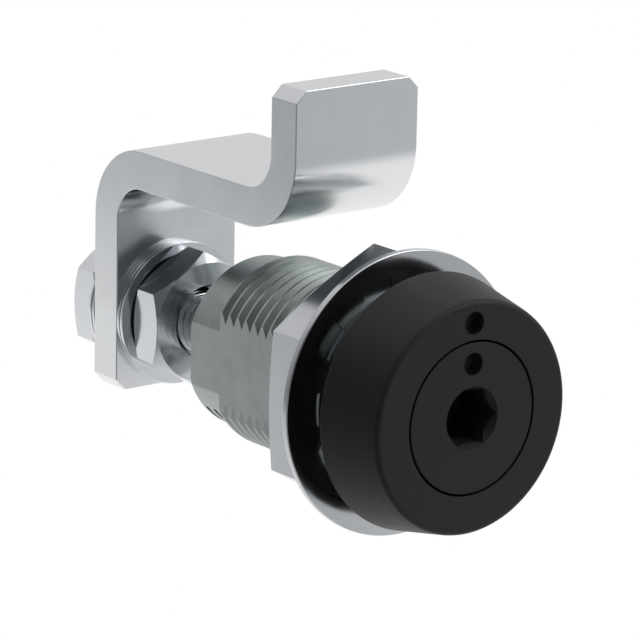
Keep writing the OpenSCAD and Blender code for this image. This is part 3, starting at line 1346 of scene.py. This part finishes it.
@dataclass
class ShaftEnd:
    """The threaded shaft and what it carries: two nuts, two washers and the bent pawl.

    Args:
        thread: The shaft's thread.
        thread_front: Y where the thread starts.
        shank_edge: Chamfer of the plain shank's front end.
        shank_lap: How far the plain shank reaches into the thread.
        across: Distance across the shaft's two flats.
        flats_front: Y where the flats start.
        end_chamfer: Chamfer of the free end.
        pocket_r: Radius of the spring's pocket.
        pocket_end: Y of that pocket's floor.
        pocket_steps: Steps round that pocket.
        pin_r: Radius of the cross hole.
        pin_y: Y of the cross hole.
        pin_steps: Steps round the cross hole.
        nut_across: Pawl nuts across their flats.
        hex_edge: Width of their broken long edges.
        crown: Step from their flats in to the circle that the chamfers start at.
        crown_steep: Height of those chamfers as a share of the corners' reach past the flats.
        bore_r: Radius of the holes on the shaft.
        bore_chamfer: Chamfer of the nuts' bores behind.
        mouth_r: Radius of the countersunk mouth in the nuts' front faces.
        mouth_edge: Broken edge of that mouth.
        mouth_deep: Depth of that mouth.
        pad_in: Step from the nuts' flats in to the pad that bears on the washer.
        pad_high: Height of that pad.
        washer_edge: Rounding of the washers' rims.
        washer_split: Width of the joint line round the washers' rims, which are pairs of thin rings.
        split_deep: Depth of that line.
        plate: Thickness of the pawl's plate.
        bend_r: Inner radius of the pawl's bends.
        inner_steps: Steps inside each bend.
        lower_steps: Steps outside the bend above the shaft.
        upper_steps: Steps outside the bend under the tab.
        corner: Chamfer of the pawl's four corners.
        plate_edge: Width of the pawl's broken edges.
        web_span: Y range that holds nothing but the web above the shaft.
        hole_span: Y range of the cutter for the pawl's keyed hole.
        hole_gap: Gap between that hole's flats and the shaft's.
    """

    thread: Thread = Thread(pitch=1.5, crest=5.2, root=4.45, crest_flat=0.2, root_flat=0.25)
    thread_front: float = 29.0
    shank_edge: float = 0.2
    shank_lap: float = 0.5
    across: float = 9.1
    flats_front: float = 26.2
    end_chamfer: float = 1.0
    pocket_r: float = 3.9
    pocket_end: float = 18.0
    pocket_steps: int = 64
    pin_r: float = 2.025
    pin_y: float = 21.5
    pin_steps: int = 48
    nut_across: float = 19.0
    hex_edge: float = 0.15
    crown: float = 0.1
    crown_steep: float = 0.75
    bore_r: float = 5.25
    bore_chamfer: float = 0.5
    mouth_r: float = 5.45
    mouth_edge: float = 0.45
    mouth_deep: float = 1.2
    pad_in: float = 1.3
    pad_high: float = 0.5
    washer_edge: float = 0.12
    washer_split: float = 0.1
    split_deep: float = 0.5
    plate: float = 6.0
    bend_r: float = 5.8
    inner_steps: int = 12
    lower_steps: int = 16
    upper_steps: int = 24
    corner: float = 1.8
    plate_edge: float = 0.16
    web_span: Point = (30.0, 60.0)
    hole_span: Point = (50.0, 80.0)
    hole_gap: float = 0.05

    def shaft(self) -> Piece:
        """Turns the shaft, mills its flats and drills its spring pocket and cross hole.

        Returns:
            The shaft.
        """
        place = Place.of("shaft")
        front = place.front
        back = place.back
        radius = self.thread.crest
        shaft = self.thread.cut("threaded_shaft", self.thread_front, back)
        shank = [
            (radius - self.shank_edge, front),
            (radius, front + self.shank_edge),
            (radius, self.thread_front + self.shank_lap),
        ]
        combine(shaft, lathe("plain shank", shank), Cut.JOIN)
        outline = [
            (radius + PAST, front - PAST),
            (radius + PAST, back - self.end_chamfer - PAST),
            (radius - self.end_chamfer, back),
            (radius - self.end_chamfer, back + PAST),
        ]
        combine(shaft, lathe("end chamfer", outline), Cut.KEEP)
        for side in (-1, 1):
            edge = side * self.across / 2
            far = side * 2 * radius
            low = Vector((-2 * radius, self.flats_front, min(edge, far)))
            high = Vector((2 * radius, back + PAST, max(edge, far)))
            combine(shaft, block("flat", low, high), Cut.AWAY)
        pocket = [(self.pocket_r, front - PAST), (self.pocket_r, self.pocket_end)]
        combine(shaft, lathe("spring pocket", pocket, steps=self.pocket_steps), Cut.AWAY)
        hole = added(
            "cross hole",
            bpy.ops.mesh.primitive_cylinder_add,
            vertices=self.pin_steps,
            radius=self.pin_r,
            depth=4 * radius,
            location=(0, self.pin_y, 0),
            rotation=(0, math.pi / 2, 0),
        )
        combine(shaft, hole, Cut.AWAY)
        return shaft

    def nut(self) -> Piece:
        """Makes the front pawl nut, with both faces chamfered.

        Returns:
            The nut.
        """
        place = Place.of("front_pawl_nut")
        front = place.front
        back = place.back
        corner = self.nut_across / math.sqrt(3)
        flat = self.nut_across / 2
        rise = (corner - flat) * self.crown_steep
        nut = hex_prism("nut_before_pawl", self.nut_across, front - PAST, back + PAST, self.hex_edge)
        pad = flat - self.pad_in
        faces = [
            (flat - self.crown, front),
            (corner, front + rise),
            (corner, back - rise - self.pad_high),
            (flat - self.crown, back - self.pad_high),
            (pad, back - self.pad_high),
            (pad, back),
        ]
        combine(nut, lathe("nut faces", faces), Cut.KEEP)
        bore = [
            (self.mouth_r + self.mouth_edge + PAST, front - PAST),
            (self.mouth_r, front + self.mouth_edge),
            (self.mouth_r, front + self.mouth_deep),
            (self.bore_r, front + self.mouth_deep),
            (self.bore_r, back - self.bore_chamfer),
            (self.bore_r + self.bore_chamfer + PAST, back + PAST),
        ]
        combine(nut, lathe("nut bore", bore), Cut.AWAY)
        return nut

    def washer(self) -> Piece:
        """Makes the front pawl washer.

        Returns:
            The washer.
        """
        place = Place.of("front_pawl_washer")
        middle = (place.front + place.back) / 2
        split = self.washer_split / 2
        corners = [
            (self.bore_r, place.front, self.washer_edge),
            (place.side, place.front, self.washer_edge),
            (place.side, middle - split, self.washer_edge),
            (place.side - self.split_deep, middle - split),
            (place.side - self.split_deep, middle + split),
            (place.side, middle + split, self.washer_edge),
            (place.side, place.back, self.washer_edge),
            (self.bore_r, place.back, self.washer_edge),
        ]
        return turned("washer_before_pawl", eased(corners), closed=True)

    def pawl(self, solid: Piece) -> Piece:
        """Bends the pawl from its plate and cuts its corners and its keyed hole.

        Args:
            solid: The pawl's CAD solid.

        Returns:
            The pawl.
        """
        place = Place.of("pawl")
        inner = self.bend_r
        outer = inner + self.plate
        leg = Place.of("front_pawl_washer").back
        web_high = self.web_height(solid)
        web_low = web_high - self.plate
        tab = place.front
        lower = (place.back - outer, web_high - outer)
        upper = (tab + outer, web_low + outer)
        outline = [(leg, place.low), (place.back, place.low)]
        outline += arc(lower, outer, 0, 90, self.lower_steps)
        outline += arc(upper, inner, 270, 180, self.inner_steps)
        outline += [(tab + self.plate, place.high), (tab, place.high)]
        outline += arc(upper, outer, 180, 270, self.upper_steps)
        outline += arc(lower, inner, 90, 0, self.inner_steps)
        plate = drawn("bent_pawl", [Vector((-place.side, y, z)) for y, z in outline], closed=True)
        with shaping(plate):
            bpy.ops.mesh.select_all(action="SELECT")
            bpy.ops.mesh.edge_face_add()
            bpy.ops.mesh.extrude_region_move(TRANSFORM_OT_translate={"value": (2 * place.side, 0, 0)})
        closed_up(plate)
        for side in (-1, 1):
            across = side * (place.side - self.corner)
            trimmed(plate, (across, 0, place.high), (side, 0, 1))
            trimmed(plate, (across, 0, place.low), (side, 0, -1))
        closed_up(plate)
        modified(
            plate,
            "BEVEL",
            width=self.plate_edge,
            segments=EDGE_STEPS,
            limit_method="ANGLE",
            angle_limit=SHARP_ANGLE,
        )
        hole = lathe("keyed hole", [(self.bore_r, y) for y in self.hole_span])
        for side in (-1, 1):
            trimmed(hole, (0, 0, side * (self.across / 2 + self.hole_gap)), (0, 0, side))
        closed_up(hole)
        combine(plate, hole, Cut.AWAY)
        return plate

    def web_height(self, solid: Piece) -> float:
        """Height of the web's outer face, where the plate lies between its two bends.

        Args:
            solid: The pawl's CAD solid.

        Returns:
            Z in millimetres.
        """
        front, back = self.web_span
        corners = [corner.co / MM for corner in solid.data.vertices]
        return max(corner.z for corner in corners if front < corner.y < back)

    def build(self, solid: Piece) -> None:
        """Builds and dresses all that slides with the shaft and can be seen.

        Args:
            solid: The pawl's CAD solid.
        """
        dress(self.shaft(), TURNED_STEEL, "shaft", "shaft")
        nut = self.nut()
        behind = copied(nut, "nut_behind_pawl")
        step = Place.of("rear_pawl_nut").back + Place.of("front_pawl_nut").front
        placed(behind, step=(0, step, 0), turn=(0, 0, 180))
        dress(nut, BRIGHT_ZINC_PLATE, "shaft", "front_pawl_nut")
        dress(behind, BRIGHT_ZINC_PLATE, "shaft", "rear_pawl_nut")
        washer = self.washer()
        other = copied(washer, "washer_behind_pawl")
        step = Place.of("rear_pawl_washer").front - Place.of("front_pawl_washer").front
        placed(other, step=(0, step, 0))
        dress(washer, BRIGHT_ZINC_PLATE, "shaft", "front_pawl_washer")
        dress(other, BRIGHT_ZINC_PLATE, "shaft", "rear_pawl_washer")
        dress(self.pawl(solid), PLATED_ROLLED_STEEL, "shaft", "pawl")


@dataclass(frozen=True)
class SoftBox:
    """A square lamp that faces the latch.

    Args:
        name: Name of the lamp.
        place: Its place, in millimetres.
        size: Its side, in millimetres.
        watts: Its power.
    """

    name: str
    place: Triple
    size: float
    watts: float

    def build(self, aim: Vector) -> None:
        """Adds the lamp.

        Args:
            aim: The point that it faces, in millimetres.
        """
        place = Vector(self.place)
        deselect()
        bpy.ops.object.light_add(type="AREA", location=place * MM)
        lamp = bpy.context.object
        lamp.name = self.name
        lamp.data.shape = "SQUARE"
        lamp.data.size = self.size * MM
        lamp.data.energy = self.watts
        lamp.rotation_euler = (place - aim).to_track_quat("Z", "Y").to_euler()


@dataclass
class Studio:
    """Floor, light and the photograph's camera.

    Args:
        azimuth: Camera's angle about Z, in degrees.
        elevation: Camera's angle above the floor, in degrees.
        roll: Camera's roll, in degrees.
        distance: Camera's distance from its target, in millimetres.
        target: Point that it looks at, in millimetres.
        lens: Focal length, in millimetres.
        sensor: Width of the camera's sensor, in millimetres.
        depth: Nearest and farthest that the camera sees, in metres.
        floor_z: Height of the floor, in millimetres.
        floor_size: Side of the floor, in millimetres.
        floor_paint: Colour of the floor to light that falls on it, sRGB hex.
        pool: Centre of the painted pool of light on the floor, in millimetres.
        pool_in: Radius within which the painted light is white.
        pool_out: Radius at which it has fallen to its far painted shade.
        pool_painted_white: Colour of the painted pool of light, sRGB hex.
        far_painted_shade: Painted shade of the floor beyond the pool, sRGB hex.
        shade_side: Direction in which painted shade darkens the floor, to the left and the front.
        shade_in: Distance along it at which the painted shade starts, in millimetres.
        shade_out: Distance along it at which the floor has its full left painted shade.
        left_painted_shade: Painted shade of the floor on that side, sRGB hex.
        bright_side: Direction of the world's bright side.
        sky_span: Span along that direction in which the world turns bright.
        sky_near: Colour of the world on the dark side, left of the camera, sRGB hex.
        sky_far: Colour of the world on the bright side, sRGB hex.
        lamps: The soft boxes.
    """

    azimuth: float = -37.97
    elevation: float = 14.955
    roll: float = 1.091
    distance: float = 672.55
    target: Triple = (0.0, 24.918, 6.711)
    lens: float = 253.5
    sensor: float = 36.0
    depth: Point = (0.05, 20.0)
    floor_z: float = -100.0
    floor_size: float = 6000.0
    floor_paint: str = "d8d8d8"
    # Painted light on the floor: a white pool with painted shade beyond it and to the left, seen by
    # camera and mirror rays
    pool: Point = (250.0, 330.0)
    pool_in: float = 475.0
    pool_out: float = 585.0
    pool_painted_white: str = "ffffff"
    far_painted_shade: str = "c6c8ca"
    shade_side: Triple = (-0.82, -0.57, 0.0)
    shade_in: float = -40.0
    shade_out: float = 133.0
    left_painted_shade: str = "8a8c8e"
    bright_side: Triple = (0.9, 0.43, 0.0)
    sky_span: Point = (-0.7, 0.35)
    sky_near: str = "606264"
    sky_far: str = "e0e0e1"
    lamps: tuple[SoftBox, ...] = (
        SoftBox("top box", place=(-150, 60, 700), size=900, watts=1.5),
        SoftBox("side box", place=(420, -420, 380), size=360, watts=1.3),
    )

    def camera(self) -> None:
        """Places the camera as the photograph's was."""
        turn = math.radians(self.azimuth)
        rise = math.radians(self.elevation)
        back = Vector(
            (math.sin(turn) * math.cos(rise), -math.cos(turn) * math.cos(rise), math.sin(rise))
        )
        right = (-back).cross(Vector((0, 0, 1))).normalized()
        up = right.cross(-back)
        lean = math.radians(self.roll)
        across = right * math.cos(lean) + up * math.sin(lean)
        upward = up * math.cos(lean) - right * math.sin(lean)
        turned_to = Matrix((across, upward, back)).transposed().to_4x4()
        place = (Vector(self.target) + back * self.distance) * MM
        deselect()
        bpy.ops.object.camera_add()
        camera = bpy.context.object
        camera.name = "camera"
        camera.matrix_world = Matrix.Translation(place) @ turned_to
        camera.data.lens = self.lens
        camera.data.sensor_width = self.sensor
        camera.data.clip_start, camera.data.clip_end = self.depth
        bpy.context.scene.camera = camera

    def seen(self, tree: Tree) -> Socket:
        """Adds what tells whether a ray comes from the camera, a mirror or clear material.

        Args:
            tree: The node tree.

        Returns:
            A socket that is 1 for such a ray.
        """
        path = node(tree, "ShaderNodeLightPath").outputs
        seen = path["Is Camera Ray"]
        for ray in ("Is Glossy Ray", "Is Transmission Ray"):
            seen = node(tree, "ShaderNodeMath", {0: seen, 1: path[ray]}, operation="MAXIMUM").outputs[0]
        return seen

    def floor(self) -> Piece:
        """Lays the pale floor, which shows camera and mirror rays a painted pool of white light behind
        the latch and painted shade round it.

        Returns:
            The floor.
        """
        plane = bpy.ops.mesh.primitive_plane_add
        height = self.floor_z * MM
        floor = added("floor", plane, size=self.floor_size * MM, location=(0, 0, height))
        material = bpy.data.materials.new("pale floor")
        tree = blank(material)
        place = node(tree, "ShaderNodeTexCoord").outputs["Object"]
        centre = (self.pool[0] * MM, self.pool[1] * MM, height)
        # Painted light: a white pool that falls off to painted shade, darker still to the left and
        # front
        away = compared(tree, "DISTANCE", place, centre)
        painted_falloff = spread(tree, away, (self.pool_in * MM, self.pool_out * MM))
        colour = blended(tree, painted_falloff, linear(self.pool_painted_white), linear(self.far_painted_shade))
        across = compared(tree, "DOT_PRODUCT", place, self.shade_side)
        lit = spread(tree, across, (self.shade_out * MM, self.shade_in * MM))
        shaded = blended(tree, lit, linear(self.left_painted_shade), colour)
        # Camera and mirror rays see the painted pool and shade glow; other rays see the plain paint
        glow = node(tree, "ShaderNodeEmission", {"Color": shaded, "Strength": 1.0}).outputs[0]
        paint = node(tree, "ShaderNodeBsdfDiffuse", {"Color": linear(self.floor_paint)}).outputs[0]
        mixed = node(tree, "ShaderNodeMixShader", {0: self.seen(tree), 1: paint, 2: glow}).outputs[0]
        node(tree, "ShaderNodeOutputMaterial", {"Surface": mixed})
        floor.data.materials.append(material)
        return floor

    def world(self) -> None:
        """Sets the world: bright on the right and behind, grey left of the camera."""
        world = bpy.data.worlds.new("studio")
        bpy.context.scene.world = world
        tree = blank(world)
        way = node(tree, "ShaderNodeTexCoord").outputs["Generated"]
        side = compared(tree, "DOT_PRODUCT", way, self.bright_side)
        share = spread(tree, side, self.sky_span, smooth=True)
        colour = blended(tree, share, linear(self.sky_near), linear(self.sky_far))
        glow = node(tree, "ShaderNodeBackground", {"Color": colour, "Strength": 1.0}).outputs[0]
        node(tree, "ShaderNodeOutputWorld", {"Surface": glow})

    def build(self) -> None:
        """Sets up the studio."""
        self.camera()
        self.floor()
        self.world()
        for lamp in self.lamps:
            lamp.build(Vector(self.target))
        scene = bpy.context.scene
        scene.view_settings.view_transform = "Standard"
        log.info("studio ready")


def main() -> None:
    """Builds the latch piece by piece and sets up its studio."""
    logging.basicConfig(level=logging.INFO, format="%(name)s: %(message)s")
    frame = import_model()
    nodes = frame["nodes"]
    head = Head()
    head.build()
    KeyDrive().build(head)
    Body().build()
    ShaftEnd().build(nodes["pawl"])
    for name, finish in AS_PACKED.items():
        surface(nodes[name], finish)
    Studio().build()


if __name__ == "__main__":
    main()
